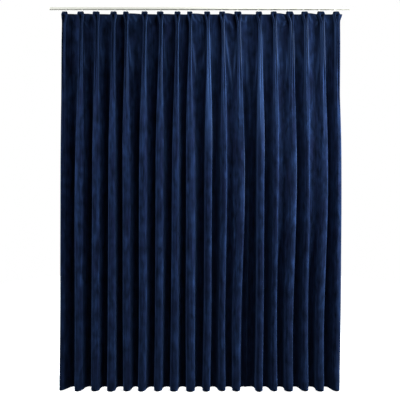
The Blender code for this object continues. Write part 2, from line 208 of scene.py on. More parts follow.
def velvetMaterial(name, look, sheen):
    material, tree, shader = newMaterial(name)
    brushed = addNoise(tree, across=17.0, along=5.0, detail=3.0, seed=1.0)
    ruffled = addNoise(tree, across=34.0, along=14.0, detail=5.0, to=0.68, seed=4.0)
    streaks = addNoise(tree, across=150.0, along=5.0, detail=3.0, seed=7.0)
    fibres = addNoise(tree, across=1900.0, along=1300.0, detail=1.0, seed=9.0)
    colour = mixColours(tree, brushed.outputs["Mask"], look["base"], look["brushed"])
    colour = mixColours(tree, ruffled.outputs["Mask"], colour, look["ruffled"])
    # painted highlight, where the attribute says
    highlightNode = addNode(tree, "ShaderNodeAttribute", {"attribute_name": "painted highlight"})
    colour = mixColours(tree, highlightNode.outputs["Fac"], colour, look["lit"])
    # painted shade, where the attribute says
    shadeNode = addNode(tree, "ShaderNodeAttribute", {"attribute_name": "painted shade"})
    colour = mixColours(tree, shadeNode.outputs["Fac"], colour, look["paintedShade"])
    grain = mixColours(tree, 0.6, colour, streaks.outputs["Mask"], "MULTIPLY")
    # painted rim highlight, where the attribute says
    rimHighlightNode = addNode(tree, "ShaderNodeAttribute", {"attribute_name": "painted rim highlight"})
    grain = mixColours(tree, rimHighlightNode.outputs["Fac"], grain, look["rim"])
    tree.links.new(grain, shader.inputs["Base Color"])
    shader.inputs["Roughness"].default_value = look["roughness"]
    shader.inputs["Specular IOR Level"].default_value = 0.0
    shader.inputs["Sheen Weight"].default_value = sheen
    shader.inputs["Sheen Roughness"].default_value = look["sheenRoughness"]
    shader.inputs["Sheen Tint"].default_value = look["sheenTint"]
    nap = addNode(tree, "ShaderNodeBump", None, {"Strength": 0.35, "Distance": 0.0012})
    tree.links.new(ruffled.outputs["Mask"], nap.inputs["Height"])
    pile = addNode(tree, "ShaderNodeBump", None, {"Strength": 0.25, "Distance": 0.0003})
    tree.links.new(fibres.outputs["Mask"], pile.inputs["Height"])
    tree.links.new(nap.outputs["Normal"], pile.inputs["Normal"])
    tree.links.new(pile.outputs["Normal"], shader.inputs["Normal"])
    return material


def velvetBackMaterial():
    material, tree, shader = newMaterial("velvet back")
    threads = addNoise(tree, across=1500.0, along=1500.0, detail=1.0, seed=3.0)
    colour = mixColours(tree, threads.outputs["Mask"], (0.006, 0.010, 0.028), (0.013, 0.020, 0.048))
    tree.links.new(colour, shader.inputs["Base Color"])
    shader.inputs["Roughness"].default_value = 0.9
    shader.inputs["Specular IOR Level"].default_value = 0.2
    weave = addNode(tree, "ShaderNodeBump", None, {"Strength": 0.4, "Distance": 0.0003})
    tree.links.new(threads.outputs["Mask"], weave.inputs["Height"])
    tree.links.new(weave.outputs["Normal"], shader.inputs["Normal"])
    return material


# The drape: one sheet, shaped by the folds it falls in
drape = {
    "stations": {"head": 0.0, "neck": 0.08, "chest": 0.572, "waist": 1.217, "knee": 1.990, "hem": 2.450},
    "neckHeight": 0.085,
    "pleatsOpenBy": 0.95,
    "valleyBackBy": 0.60,
    "tapeEnds": 0.13,
    "edgeTurn": 0.003,
    "frontTurns": 0.01,
    "headingY": -0.0085,
    "valleyY": 0.010,
    "leftEdge": 0.30,
    "rightEdge": 0.40,
    "leftRoll": 0.007,
    "leftSetBack": 0.65,
    "rightRoll": 0.024,
    "rollShare": 0.25,
    "cornerShare": 0.10,
    "headFront": (0.012, 0.030),
    "headTurn": 0.011,
    "headTurnHeight": 0.015,
    "headDome": 0.0045,
    "domeShares": (0.05, 0.17),
    "topWave": 0.0045,
    "waveRises": (0.24, 0.34),
    "waveFalls": (0.42, 0.72),
    "topHeight": 0.035,
    "leanStarts": (0.16, 0.32),
    "leanGone": (0.3, 0.9),
    "fullLift": 12,
    "capHeight": 0.010,
    "capShare": 0.2,
    "thickness": 0.0020,
    "hemThickness": 0.0032,
    "hemHeight": 0.095,
    "sideHemShare": 0.14,
    "flatSize": (3.10, 2.45),
}

# One row a fold, left to right: sideways place in mm at each station, depth in mm, how steep its
# left and right sides hang in the middle and at the hem, how far the cloth on its right stands
# forward at the heading, the head's width, and how strong a painted highlight lies on its crest
foldColumns = ("head", "neck", "chest", "waist", "knee", "hem", "depth", "leftMid", "rightMid",
               "leftHem", "rightHem", "lift", "wide", "shine")
foldRows = (
    (-883, -888, -899, -903, -905, -909, 48, 1.0, -0.2, 1.0, 0.0, 4, 33, 0.0),
    (-779, -776, -786, -796, -794, -794, 57, 1.1, 0.1, 1.1, 0.5, 7, 38, 0.07),
    (-679, -672, -682, -684, -686, -685, 56, 1.1, 0.3, 1.1, 0.9, 2, 41, 0.07),
    (-565, -566, -573, -577, -577, -580, 59, 1.1, 0.5, 1.2, 1.1, 0, 38, 0.0),
    (-486, -481, -487, -484, -482, -476, 55, 1.0, 0.2, 1.0, 0.7, 10, 33, 0.07),
    (-364, -362, -373, -379, -376, -383, 60, 1.1, 0.1, 1.1, 0.5, 2, 37, 0.14),
    (-263, -258, -267, -270, -273, -278, 57, 1.1, 0.3, 1.1, 0.8, 4, 41, 0.07),
    (-150, -152, -159, -165, -168, -173, 58, 1.0, 0.5, 1.2, 0.8, 0, 37, 0.0),
    (-71, -66, -75, -70, -72, -66, 62, 1.1, 0.3, 1.2, 1.1, 9, 33, 0.07),
    (42, 48, 54, 50, 48, 38, 60, 1.0, 1.1, 1.0, 1.2, 0, 37, 1.0),
    (139, 145, 153, 157, 141, 140, 56, 0.3, 1.2, 0.5, 1.2, 12, 37, 0.2),
    (241, 249, 257, 262, 238, 234, 57, 0.4, 1.1, 1.2, 0.9, 2, 43, 0.2),
    (378, 386, 391, 389, 386, 378, 61, 0.9, 1.2, 0.9, 1.2, 0, 37, 1.0),
    (474, 483, 491, 492, 478, 476, 56, 0.3, 1.2, 0.5, 1.2, 12, 36, 0.2),
    (577, 591, 597, 601, 575, 574, 59, 0.3, 1.2, 1.1, 1.2, 0, 43, 0.07),
    (675, 684, 693, 696, 680, 676, 55, 0.3, 1.2, 0.5, 1.2, 12, 39, 0.14),
    (780, 790, 799, 807, 778, 777, 59, 0.3, 1.2, 1.1, 1.1, 0, 43, 0.2),
    (880, 883, 891, 892, 887, 880, 55, 0.2, 1.0, 0.4, 1.0, 0, 37, 0.0),
)
folds = [dict(zip(foldColumns, row)) for row in foldRows]

# One row a valley, named by the fold on its left: its place between the two folds and its depth as
# a share of theirs, at chest, waist and hem, and the widest side of a fold before the cloth lies
# flat at the back, in mm
valleyColumns = ("fold", "chestPlace", "waistPlace", "hemPlace", "chestDepth", "waistDepth",
                 "hemDepth", "flank")
valleyRows = (
    (1, 0.62, 0.62, 0.60, 1.00, 1.00, 1.00, 90),
    (2, 0.64, 0.66, 0.55, 0.95, 1.00, 1.00, 90),
    (3, 0.60, 0.60, 0.52, 1.00, 1.00, 1.00, 90),
    (4, 0.50, 0.52, 0.50, 1.00, 1.00, 1.00, 60),
    (5, 0.62, 0.62, 0.52, 0.90, 1.00, 1.00, 90),
    (6, 0.60, 0.60, 0.55, 0.95, 1.00, 1.00, 90),
    (7, 0.60, 0.60, 0.52, 1.00, 1.00, 1.00, 90),
    (8, 0.55, 0.52, 0.50, 1.00, 1.00, 1.00, 60),
    (9, 0.60, 0.60, 0.52, 0.85, 0.95, 1.00, 90),
    (10, 0.45, 0.38, 0.42, 1.00, 1.00, 1.00, 80),
    (11, 0.24, 0.18, 0.42, 0.42, 0.50, 1.00, 110),
    (12, 0.50, 0.50, 0.50, 1.00, 1.00, 1.00, 46),
    (13, 0.50, 0.42, 0.45, 1.00, 1.00, 1.00, 60),
    (14, 0.24, 0.16, 0.40, 0.42, 0.50, 1.00, 110),
    (15, 0.46, 0.40, 0.45, 1.00, 1.00, 1.00, 80),
    (16, 0.24, 0.16, 0.42, 0.42, 0.50, 1.00, 110),
    (17, 0.45, 0.35, 0.40, 1.00, 1.00, 1.00, 90),
)
valleys = [dict(zip(valleyColumns, row)) for row in valleyRows]

# Half a pinch pleat from above, at its head and at its neck: share of the cloth, mm sideways as a
# share of half the head's width, mm forward
pleatShares = (0.0, 0.04, 0.08, 0.12, 0.16, 0.22, 0.27, 0.32)
headSideways = (0.0, 0.36, 0.76, 1.0, 1.0, 0.88, 0.90, 1.20)
headForward = (35.0, 35.0, 35.5, 33.0, 25.0, 12.0, 4.0, 0.4)
neckSideways = (0.0, 0.16, 0.30, 0.42, 0.48, 0.46, 0.56, 1.02)
neckForward = (29.0, 33.0, 38.0, 33.0, 22.0, 8.0, 2.5, 0.3)

# The hollow between a head's two fingers: mm deep, share of it at each of the shares above, and
# the drops where it starts, is deepest and ends
throat = {"depth": 12.0, "shares": (1.0, 0.9, 0.12, 0.0, 0.0, 0.0, 0.0, 0.0), "from": 0.010,
          "deepest": 0.024, "ends": 0.085}

# Thin ridges that fan out below a fold's neck or lie in a valley: the fold's number, the share of the
# cloth where the ridge starts and ends, the drops it runs between, its height in mm and its width
ridgeColumns = ("fold", "startShare", "endShare", "from", "to", "height", "width")
ridgeRows = (
    (2, 0.16, 0.40, 0.05, 0.45, 5.5, 0.034),
    (3, 0.17, 0.42, 0.05, 0.38, 6.0, 0.034),
    (5, 0.17, 0.46, 0.05, 0.45, 6.5, 0.036),
    (5, -0.15, -0.30, 0.05, 0.35, 4.0, 0.034),
    (6, 0.16, 0.34, 0.05, 0.40, 5.5, 0.034),
    (7, 0.17, 0.44, 0.05, 0.40, 6.0, 0.034),
    (9, 0.17, 0.50, 0.05, 0.50, 6.5, 0.036),
    (9, -0.15, -0.28, 0.05, 0.35, 4.0, 0.034),
    (10, 0.14, 0.34, 0.04, 0.30, 5.0, 0.034),
    (10, -0.18, -0.46, 0.05, 0.40, 4.0, 0.036),
    (11, 0.24, 0.56, 0.08, 0.60, 8.0, 0.055),
    (12, -0.20, -0.50, 0.06, 0.52, 7.0, 0.050),
    (13, -0.20, -0.42, 0.10, 0.60, 5.0, 0.045),
    (14, 0.16, 0.30, 0.05, 0.42, 7.0, 0.050),
    (15, -0.20, -0.46, 0.06, 0.52, 7.0, 0.050),
    (16, 0.16, 0.30, 0.05, 0.42, 7.0, 0.050),
    (17, -0.20, -0.46, 0.06, 0.52, 7.0, 0.050),
    (12, 0.40, 0.50, 0.22, 0.90, 7.0, 0.050),
    (12, 0.36, 0.42, 0.95, 2.70, 13.0, 0.055),
    (13, 0.45, 0.45, 0.30, 0.90, 4.0, 0.045),
)

# Puckers in the flat cloth right of a pleat, where the tape's cords gather it, in the same columns
puckerRows = (
    (1, 0.40, 0.52, 0.008, 0.050, 3.0, 0.034),
    (2, 0.16, 0.30, 0.040, 0.110, 5.0, 0.030),
    (2, 0.28, 0.46, 0.045, 0.105, 5.0, 0.030),
    (3, 0.46, 0.60, 0.012, 0.055, 4.0, 0.032),
    (3, 0.72, 0.62, 0.015, 0.060, 3.5, 0.032),
    (5, 0.24, 0.36, 0.004, 0.060, 5.0, 0.032),
    (5, 0.40, 0.54, 0.006, 0.065, 5.0, 0.034),
    (6, 0.30, 0.44, 0.010, 0.075, 4.0, 0.032),
    (7, 0.26, 0.40, 0.015, 0.080, 4.5, 0.032),
    (7, 0.42, 0.52, 0.010, 0.065, 3.5, 0.032),
    (9, 0.25, 0.40, 0.002, 0.066, 6.5, 0.030),
    (9, 0.41, 0.54, 0.002, 0.060, 5.5, 0.030),
    (9, 0.58, 0.66, 0.010, 0.070, 3.5, 0.034),
    (11, 0.28, 0.42, 0.010, 0.080, 5.0, 0.034),
    (11, 0.44, 0.60, 0.040, 0.115, 5.0, 0.034),
    (12, 0.21, 0.36, 0.002, 0.066, 6.5, 0.030),
    (12, 0.48, 0.38, 0.006, 0.066, 5.0, 0.030),
    (14, 0.52, 0.64, 0.004, 0.050, 6.0, 0.034),
    (14, 0.66, 0.50, 0.040, 0.092, 6.0, 0.034),
    (14, 0.34, 0.42, 0.020, 0.080, 3.0, 0.034),
    (16, 0.56, 0.70, 0.004, 0.050, 6.0, 0.034),
    (16, 0.70, 0.54, 0.040, 0.098, 6.0, 0.034),
    (16, 0.36, 0.46, 0.010, 0.070, 3.5, 0.034),
    (17, 0.30, 0.44, 0.010, 0.070, 4.0, 0.034),
)
ridges = [dict(zip(ridgeColumns, row)) for row in ridgeRows + puckerRows]
ridgeFades = {"in": (0, 0.25), "out": (0.65, 1)}
ridgeReach = 3

# Thin painted highlights along a crest's right side, or down a pleat: fold number, share of
# the cloth, the drops it runs between, and how light it is
rimColumns = ("fold", "share", "from", "to", "light")
rimRows = (
    (9, 0.08, 0.06, 0.30, 0.12),
    (10, 0.03, 0.03, 0.42, 0.50),
    (11, 0.07, 0.02, 0.40, 0.40),
    (12, 0.07, 0.02, 0.40, 0.40),
    (13, 0.03, 0.03, 0.42, 0.50),
    (14, 0.07, 0.02, 0.40, 0.45),
    (15, -0.07, 0.01, 0.20, 0.25),
    (15, 0.07, 0.10, 0.40, 0.32),
    (16, 0.07, 0.02, 0.40, 0.50),
    (17, 0.07, 0.02, 0.40, 0.45),
    (10, 0.13, 0.58, 0.98, 0.22),
    (12, 0.13, 0.80, 1.40, 0.35),
    (13, 0.13, 0.58, 1.00, 0.22),
    (15, 0.13, 0.80, 1.40, 0.40),
    (17, 0.13, 0.78, 1.20, 0.40),
    (5, 0.08, 0.20, 0.60, 0.10),
    (7, 0.08, 0.20, 0.60, 0.10),
)
rims = [dict(zip(rimColumns, row)) for row in rimRows]
rimFades = {"in": (0, 0.25), "out": (0.7, 1)}
rimWidth = 0.030

# Creases left from the packet: small dents across a fold, as fold number and drop
packCreases = ((4, 0.565), (8, 0.570), (11, 0.345), (14, 0.338), (16, 0.338))
packCrease = {"reach": 0.05, "height": 0.010, "share": 0.14, "depth": 6}

# Slow unevenness of the hanging cloth: how fast it changes over a fold and along the drop, and mm deep
unevenness = {"across": 3.1, "along": 2.4, "seed": 0.5, "depth": 2.2}

# Where the painted highlight lies: strengths, and the drops or shares between which each effect comes or
# goes
paintedHighlightSettings = {
    "crestReach": 0.15,
    "reachAbove": 0.34,
    "reachNarrows": (0.30, 0.60),
    "crestComes": (0.08, 0.18),
    "crestGoes": (0.38, 1.0),
    "crease": 0.077,
    "creaseGoes": (0.3, 0.6),
}

# Where the painted shade lies, in the same way
paintedShadeSettings = {
    "headDrops": (0.010, 0.030),
    "headShares": (0.17, 0.24),
    "edge": 0.8,
    "edgeDrops": (0.002, 0.008),
    "hollow": 0.55,
    "hollowShares": (0.02, 0.06),
    "hollowDrops": (0.035, 0.08),
    "leftHalfEnds": (7.5, 9),
    "neck": 0.15,
    "neckDrops": (0.07, 0.22),
    "leftPleat": 0.56,
    "leftPleatDrops": (0.15, 0.62),
    "pleatShare": 0.3,
    "firstFold": 0.6,
    "firstFoldLess": 0.15,
    "firstFoldShares": (0.2, 0.3),
    "firstFoldDrops": (1.0, 1.8),
    "corner": 0.9,
    "cornerShares": (0.02, 0.06),
    "finger": 0.5,
    "fingerShares": (0.01, 0.05),
    "fingerDrops": (0.15, 0.40),
    "besidePleat": 0.65,
    "besideStarts": (0.15, 0.21),
    "besideEnds": (0.30, 0.48),
    "besideDrops": (0.12, 0.38),
    "besideFolds": (5, 9),
    "valley": 0.46,
    "valleyDrops": (0.12, 0.45),
    "valleyDepths": (0.5, 0.9),
    "valleyWidth": 0.20,
    "flatValleyWidth": 0.30,
    "flatValleyFlank": 50,
    "litRidge": 0.006,
    "hem": 0.38,
    "hemHeights": (0.060, 0.030),
}

# The free corner at the top right end sticks out
cornerFlap = {"reach": 0.013, "gone": 0.050, "startShare": 0.20}


def foldPlace(fold, drop):
    names = tuple(drape["stations"])
    stops = [drape["stations"][name] for name in names]
    return smoothThrough(stops, [fold[name] * mm for name in names], drop)


def pleatShape(share, halfGap, headWidth, drop):
    # sideways from the fold's middle, and forward of the heading
    neckShare = smoothStep(drop, 0, drape["neckHeight"])
    lastShare = pleatShares[-1]
    atShare = min(share, lastShare)
    sideways = mix(smoothThrough(pleatShares, headSideways, atShare),
                   smoothThrough(pleatShares, neckSideways, atShare), neckShare) * headWidth * mm / 2
    forward = mix(smoothThrough(pleatShares, headForward, atShare),
                  smoothThrough(pleatShares, neckForward, atShare), neckShare) * mm
    opening = (smoothStep(drop, throat["from"], throat["deepest"])
               * (1 - smoothStep(drop, throat["deepest"], throat["ends"])))
    forward -= throat["depth"] * mm * opening * smoothThrough(pleatShares, throat["shares"], atShare)
    if share > lastShare:
        along = (share - lastShare) / (0.5 - lastShare)
        return mix(sideways, halfGap, along), forward * (1 - along)
    return sideways, forward


def valleyAt(number, drop):
    # where the valley right of a fold lies between the folds, and its depth
    valley = valleys[number]
    stops = [drape["stations"][name] for name in ("chest", "waist", "hem")]
    places = [valley[key] for key in ("chestPlace", "waistPlace", "hemPlace")]
    depths = [valley[key] for key in ("chestDepth", "waistDepth", "hemDepth")]
    return smoothThrough(stops, places, drop), smoothThrough(stops, depths, drop)


def hangingShape(number, across, drop):
    # from one crest (0) to the next (1): sideways in the whole curtain, and forward
    first, second = folds[number], folds[number + 1]
    left, right = foldPlace(first, drop), foldPlace(second, drop)
    place, depthShare = valleyAt(number, drop)
    flank = valleys[number]["flank"] * mm / (right - left)
    hemward = smoothStep(drop, drape["stations"]["waist"], drape["stations"]["hem"])
    if across < place:
        reach = min(place, flank)
        turn = min(0.5, across / (2 * reach))
        overhang = reach * mix(first["rightMid"], first["rightHem"], hemward)
    else:
        reach = min(1 - place, flank)
        turn = max(0.5, 1 - (1 - across) / (2 * reach))
        overhang = reach * mix(second["leftMid"], second["leftHem"], hemward)
    overhang *= depthShare
    sideways = left + (right - left) * (across + overhang * math.sin(4 * math.pi * turn) / (2 * math.pi))
    depth = mix(first["depth"], second["depth"], across) * mm
    valleyDepth = depthShare * (1 - math.cos(2 * math.pi * turn)) / 2
    return sideways, depth * (1 - valleyDepth)


def edgeShape(number, share, drop):
    # the free side edge rolls back from its crest
    depth = folds[number]["depth"] * mm
    crest = foldPlace(folds[number], drop)
    if number == 0:
        # the left one has a flat front and a square corner
        reach = min(1, share / drape["cornerShare"])
        setBack = drape["leftSetBack"] * smoothStep(share, 0.0, drape["leftEdge"])
        return crest - drape["leftRoll"] * reach, depth * (1 - setBack)
    around = min(1, share / drape["rollShare"])
    sideways = crest + drape["rightRoll"] * math.sin(around * math.pi / 2)
    return sideways, depth * (1 + math.cos(2 * math.pi * share)) / 2


def ridgeAt(number, share, drop):
    height = 0
    for ridge in ridges:
        if abs(ridge["fold"] - 1 - number) > 1 or not ridge["from"] < drop < ridge["to"]:
            continue
        along = (drop - ridge["from"]) / (ridge["to"] - ridge["from"])
        place = ridge["fold"] - 1 + mix(ridge["startShare"], ridge["endShare"], along)
        away = abs(number + share - place) / ridge["width"]
        if away < ridgeReach:
            fade = smoothStep(along, *ridgeFades["in"]) * (1 - smoothStep(along, *ridgeFades["out"]))
            height += ridge["height"] * mm * fade * math.exp(-away * away)
    return height


def clothPoint(number, share, drop):
    fold = folds[number]
    side = 1 if share > 0 else -1
    leftFold = number if side > 0 else number - 1
    atEdge = leftFold < 0 or leftFold == len(folds) - 1
    centre = foldPlace(fold, drop)
    neighbour = folds[number + side] if not atEdge else folds[number - side]
    halfGap = abs(foldPlace(neighbour, drop) - centre) / 2
    pleatSideways, pleatForward = pleatShape(abs(share), halfGap, fold["wide"], drop)
    pleated = (centre + side * pleatSideways, pleatForward)
    across = share if side > 0 else 1 + share
    if atEdge:
        hanging = edgeShape(number, abs(share), drop)
    else:
        hanging = hangingShape(leftFold, across, drop)
        # the flat cloth of the heading leans from the left pleat to the right one
        lean = (1 - across) * smoothStep(across, *drape["leanStarts"])
        lean *= 1 - smoothStep(drop, *drape["leanGone"])
        pleated = (pleated[0], pleated[1] + folds[leftFold]["lift"] * mm * lean)
    opened = smoothStep(drop, drape["neckHeight"], drape["pleatsOpenBy"])
    sideways = mix(pleated[0], hanging[0], opened)
    forward = mix(pleated[1], hanging[1], opened)
    forward += ridgeAt(number, share, drop)
    for creased, creaseDrop in packCreases:
        if creased == number + 1 and abs(drop - creaseDrop) < packCrease["reach"]:
            away = math.hypot((drop - creaseDrop) / packCrease["height"], share / packCrease["share"])
            forward -= packCrease["depth"] * mm * math.exp(-away * away)
    if number == len(folds) - 1 and share > cornerFlap["startShare"]:
        sideways += cornerFlap["reach"] * (1 - smoothStep(drop, 0, cornerFlap["gone"]))
    perFold, perDrop = unevenness["across"], unevenness["along"]
    spot = Vector((number * perFold + share * perFold, drop * perDrop, unevenness["seed"]))
    forward += noise.noise(spot) * unevenness["depth"] * mm * opened
    if drop < drape["tapeEnds"]:
        forward = max(forward, 0)
    # the top edge turns back, most of all at the heads
    atHead = smoothStep(forward, *drape["headFront"])
    turn = mix(drape["edgeTurn"], drape["headTurn"], atHead)
    turnHeight = mix(2 * drape["edgeTurn"], drape["headTurnHeight"], atHead)
    turned = (1 - smoothStep(drop, 0, turnHeight)) * min(1, forward / drape["frontTurns"])
    forward -= turn * turned
    height = drapeHigh.z - drop + 0.5 * turn * turned * atHead
    # and its corners are rounded, while the flat cloth right of a lifted pleat rises
    nearTop = 1 - smoothStep(drop, 0, drape["topHeight"])
    height -= drape["headDome"] * smoothStep(abs(share), *drape["domeShares"]) * atHead * nearTop
    if not atEdge:
        rise = smoothStep(across, *drape["waveRises"]) * (1 - smoothStep(across, *drape["waveFalls"]))
        height += drape["topWave"] * folds[leftFold]["lift"] / drape["fullLift"] * rise * nearTop
    backward = smoothStep(drop, drape["neckHeight"], drape["valleyBackBy"])
    back = mix(drape["headingY"], drape["valleyY"], backward)
    return (sideways, back - forward, height)


def paintedRimHighlightAt(number, share, drop):
    # painted highlight in thin lines, from the rows of rims
    light = 0
    for rim in rims:
        if rim["fold"] - 1 == number and rim["from"] < drop < rim["to"]:
            along = (drop - rim["from"]) / (rim["to"] - rim["from"])
            fade = smoothStep(along, *rimFades["in"]) * (1 - smoothStep(along, *rimFades["out"]))
            light += rim["light"] * fade * math.exp(-((share - rim["share"]) / rimWidth) ** 2)
    return min(1, light)


def paintedHighlightAt(number, share, drop):
    # painted highlight on the creases and on the crests of some folds
    reach = paintedHighlightSettings["crestReach"]
    if share >= 0:
        reach = mix(paintedHighlightSettings["reachAbove"], reach, smoothStep(drop, *paintedHighlightSettings["reachNarrows"]))
    crest = folds[number]["shine"] * math.exp(-(share / reach) ** 2)
    crest *= smoothStep(drop, *paintedHighlightSettings["crestComes"])
    crest *= 1 - smoothStep(drop, *paintedHighlightSettings["crestGoes"])
    crease = paintedHighlightSettings["crease"] * ridgeAt(number, share, drop) / mm
    crease *= 1 - smoothStep(drop, *paintedHighlightSettings["creaseGoes"])
    return min(1, crest + crease)


def valleyDark(number, share, drop):
    # the pile deep in a valley gets little light, over a wider stretch in the flat one right of fold 12
    across = share if share > 0 else 1 + share
    leftFold = number if share > 0 else number - 1
    if not 0 <= leftFold < len(valleys):
        return 0
    place, depthShare = valleyAt(leftFold, drop)
    isFlat = valleys[leftFold]["flank"] < paintedShadeSettings["flatValleyFlank"]
    width = paintedShadeSettings["flatValleyWidth"] if isFlat else paintedShadeSettings["valleyWidth"]
    near = math.exp(-((across - place) / width) ** 4)
    near *= max(0, 1 - ridgeAt(number, share, drop) / paintedShadeSettings["litRidge"])
    return (paintedShadeSettings["valley"] * near * smoothStep(depthShare, *paintedShadeSettings["valleyDepths"])
            * smoothStep(drop, *paintedShadeSettings["valleyDrops"]))


def pleatDark(number, share, drop):
    # painted shade on the neck of a pleat, more of it in the left half of the curtain, and on the whole of
    # fold 1
    if abs(share) > paintedShadeSettings["pleatShare"]:
        return 0
    if number == 0:
        less = paintedShadeSettings["firstFoldLess"] * smoothStep(drop, *paintedShadeSettings["firstFoldDrops"])
        return (1 - smoothStep(share, *paintedShadeSettings["firstFoldShares"])) * (paintedShadeSettings["firstFold"] - less)
    leftHalf = 1 - smoothStep(number, *paintedShadeSettings["leftHalfEnds"])
    return (paintedShadeSettings["neck"] * (1 - smoothStep(drop, *paintedShadeSettings["neckDrops"]))
            + paintedShadeSettings["leftPleat"] * leftHalf * (1 - smoothStep(drop, *paintedShadeSettings["leftPleatDrops"])))


def paintedShadeAt(number, share, drop):
    # painted shade: over the heads, along the top edge, in their hollows, down the left side of a pleat
    # and at the corner of the first fold; the band at the hem is darker too
    overHead = 1 - smoothStep(drop, *paintedShadeSettings["headDrops"])
    overHead *= 1 - smoothStep(abs(share), *paintedShadeSettings["headShares"])
    edge = paintedShadeSettings["edge"] * (1 - smoothStep(drop, *paintedShadeSettings["edgeDrops"]))
    hollow = paintedShadeSettings["hollow"] * (1 - smoothStep(abs(share), *paintedShadeSettings["hollowShares"]))
    hollow *= 1 - smoothStep(drop, *paintedShadeSettings["hollowDrops"])
    leftFinger = 0
    if abs(share) < paintedShadeSettings["pleatShare"]:
        leftFinger = paintedShadeSettings["finger"] * smoothStep(-share, *paintedShadeSettings["fingerShares"])
        leftFinger *= 1 - smoothStep(drop, *paintedShadeSettings["fingerDrops"])
    # painted shade on the flat cloth just left of a pleat, in the right half
    beside = paintedShadeSettings["besidePleat"] * smoothStep(-share, *paintedShadeSettings["besideStarts"])
    beside *= 1 - smoothStep(-share, *paintedShadeSettings["besideEnds"])
    fromAbove = 1 - smoothStep(drop, *paintedShadeSettings["besideDrops"])
    beside *= fromAbove * smoothStep(number, *paintedShadeSettings["besideFolds"])
    corner = 0
    if number == 0:
        corner = paintedShadeSettings["corner"] * smoothStep(-share, *paintedShadeSettings["cornerShares"])
    # and the cloth darker towards the hem
    hemStarts, hemFull = [drape["stations"]["hem"] - height for height in paintedShadeSettings["hemHeights"]]
    atHem = paintedShadeSettings["hem"] * smoothStep(drop, hemStarts, hemFull)
    return max(overHead, edge, hollow, pleatDark(number, share, drop), leftFinger, beside, corner,
               atHem, valleyDark(number, share, drop))


def clothColumns():
    # fold number and signed share of each column of points, left to right
    half = (0, 0.02, 0.04, 0.06, 0.08, 0.10, 0.12, 0.145, 0.17, 0.195, 0.22, 0.25, 0.28,
            0.31, 0.34, 0.37, 0.40, 0.435, 0.468)
    columns = []
    for number in range(len(folds)):
        for share in [-share for share in reversed(half[1:])] + list(half) + [0.5]:
            if number == 0 and share < -drape["leftEdge"]:
                continue
            if number == len(folds) - 1 and share > drape["rightEdge"]:
                continue
            columns.append((number, share))
    return columns


def clothDrops():
    # closely spaced in the heading and the hem, wider between
    length = drapeHigh.z - drapeLow.z
    hem = length - drape["hemHeight"]
    stretches = ((0.0, 0.006, 2), (0.006, 0.13, 28), (0.13, 0.62, 17), (0.62, hem - 0.004, 18),
                 (hem - 0.004, hem, 1), (hem, length, 5))
    drops = [0.0]
    for start, end, count in stretches:
        drops += [mix(start, end, (step + 1) / count) for step in range(count)]
    return drops


def writeFlat(mesh, places):
    # the cloth's own flat coordinates, in metres, as a UV map
    layer = mesh.uv_layers.new(name="flat")
    for loop in mesh.loops:
        layer.data[loop.index].uv = places[loop.vertex_index]


def makeDrape(shadedCapVelvet, velvet, velvetBack):
    columns = clothColumns()
    drops = clothDrops()
    bpy.ops.mesh.primitive_grid_add(x_subdivisions=len(columns) - 1, y_subdivisions=len(drops) - 1, size=1)
    piece = bpy.context.object
    piece.name = "velvet_drape"
    mesh = piece.data
    while mesh.uv_layers:
        mesh.uv_layers.remove(mesh.uv_layers[0])
    flatWidth = drape["flatSize"][0]
    faceCorners = [[mesh.vertices[index].co.copy() for index in face.vertices] for face in mesh.polygons]
    flatPlaces = []
    paintedHighlights = []
    paintedShades = []
    paintedRimHighlights = []
    hemmed = []
    for vertex in mesh.vertices:
        column = round((vertex.co.x + 0.5) * (len(columns) - 1))
        row = round((0.5 - vertex.co.y) * (len(drops) - 1))
        number, share = columns[column]
        vertex.co = clothPoint(number, share, drops[row])
        flatPlaces.append(((number + share + 0.5) / len(folds) * flatWidth, -drops[row]))
        paintedHighlights.append(paintedHighlightAt(number, share, drops[row]))
        paintedShades.append(paintedShadeAt(number, share, drops[row]))
        paintedRimHighlights.append(paintedRimHighlightAt(number, share, drops[row]))
        atHem = drops[row] > drops[-1] - drape["hemHeight"] - 0.0001
        atLeft = number == 0 and share < -drape["leftEdge"] + drape["sideHemShare"]
        atRight = number == len(folds) - 1 and share > drape["rightEdge"] - drape["sideHemShare"]
        if atHem or atLeft or atRight:
            hemmed.append(vertex.index)
    writeFlat(mesh, flatPlaces)
    # painted highlight, painted shade and painted rim highlights, kept as attributes for the velvet's
    # colour
    mesh.attributes.new("painted highlight", "FLOAT", "POINT").data.foreach_set("value", paintedHighlights)
    mesh.attributes.new("painted shade", "FLOAT", "POINT").data.foreach_set("value", paintedShades)
    mesh.attributes.new("painted rim highlight", "FLOAT", "POINT").data.foreach_set("value", paintedRimHighlights)
    mesh.materials.clear()
    for material in (shadedCapVelvet, velvet, velvetBack):
        mesh.materials.append(material)
    for face in mesh.polygons:
        corners = faceCorners[face.index]
        column = min(round((corner.x + 0.5) * (len(columns) - 1)) for corner in corners)
        row = min(round((0.5 - corner.y) * (len(drops) - 1)) for corner in corners)
        # the heads' tops and the top edge take the shaded copy of the velvet, as painted shade
        overHead = abs(columns[column][1]) < drape["capShare"] and drops[row] < drape["capHeight"]
        face.material_index = 0 if overHead or drops[row] < drape["edgeTurn"] else 1
    group = piece.vertex_groups.new(name="hems")
    group.add(hemmed, 1.0, "REPLACE")
    solid = piece.modifiers.new("thickness", "SOLIDIFY")
    solid.thickness = drape["hemThickness"]
    solid.offset = 0
    solid.vertex_group = "hems"
    solid.thickness_vertex_group = drape["thickness"] / drape["hemThickness"]
    solid.material_offset = 1
    bpy.ops.object.modifier_apply(modifier=solid.name)
    bpy.ops.object.shade_smooth()
    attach(piece, "root")
    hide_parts("drape")
    return piece


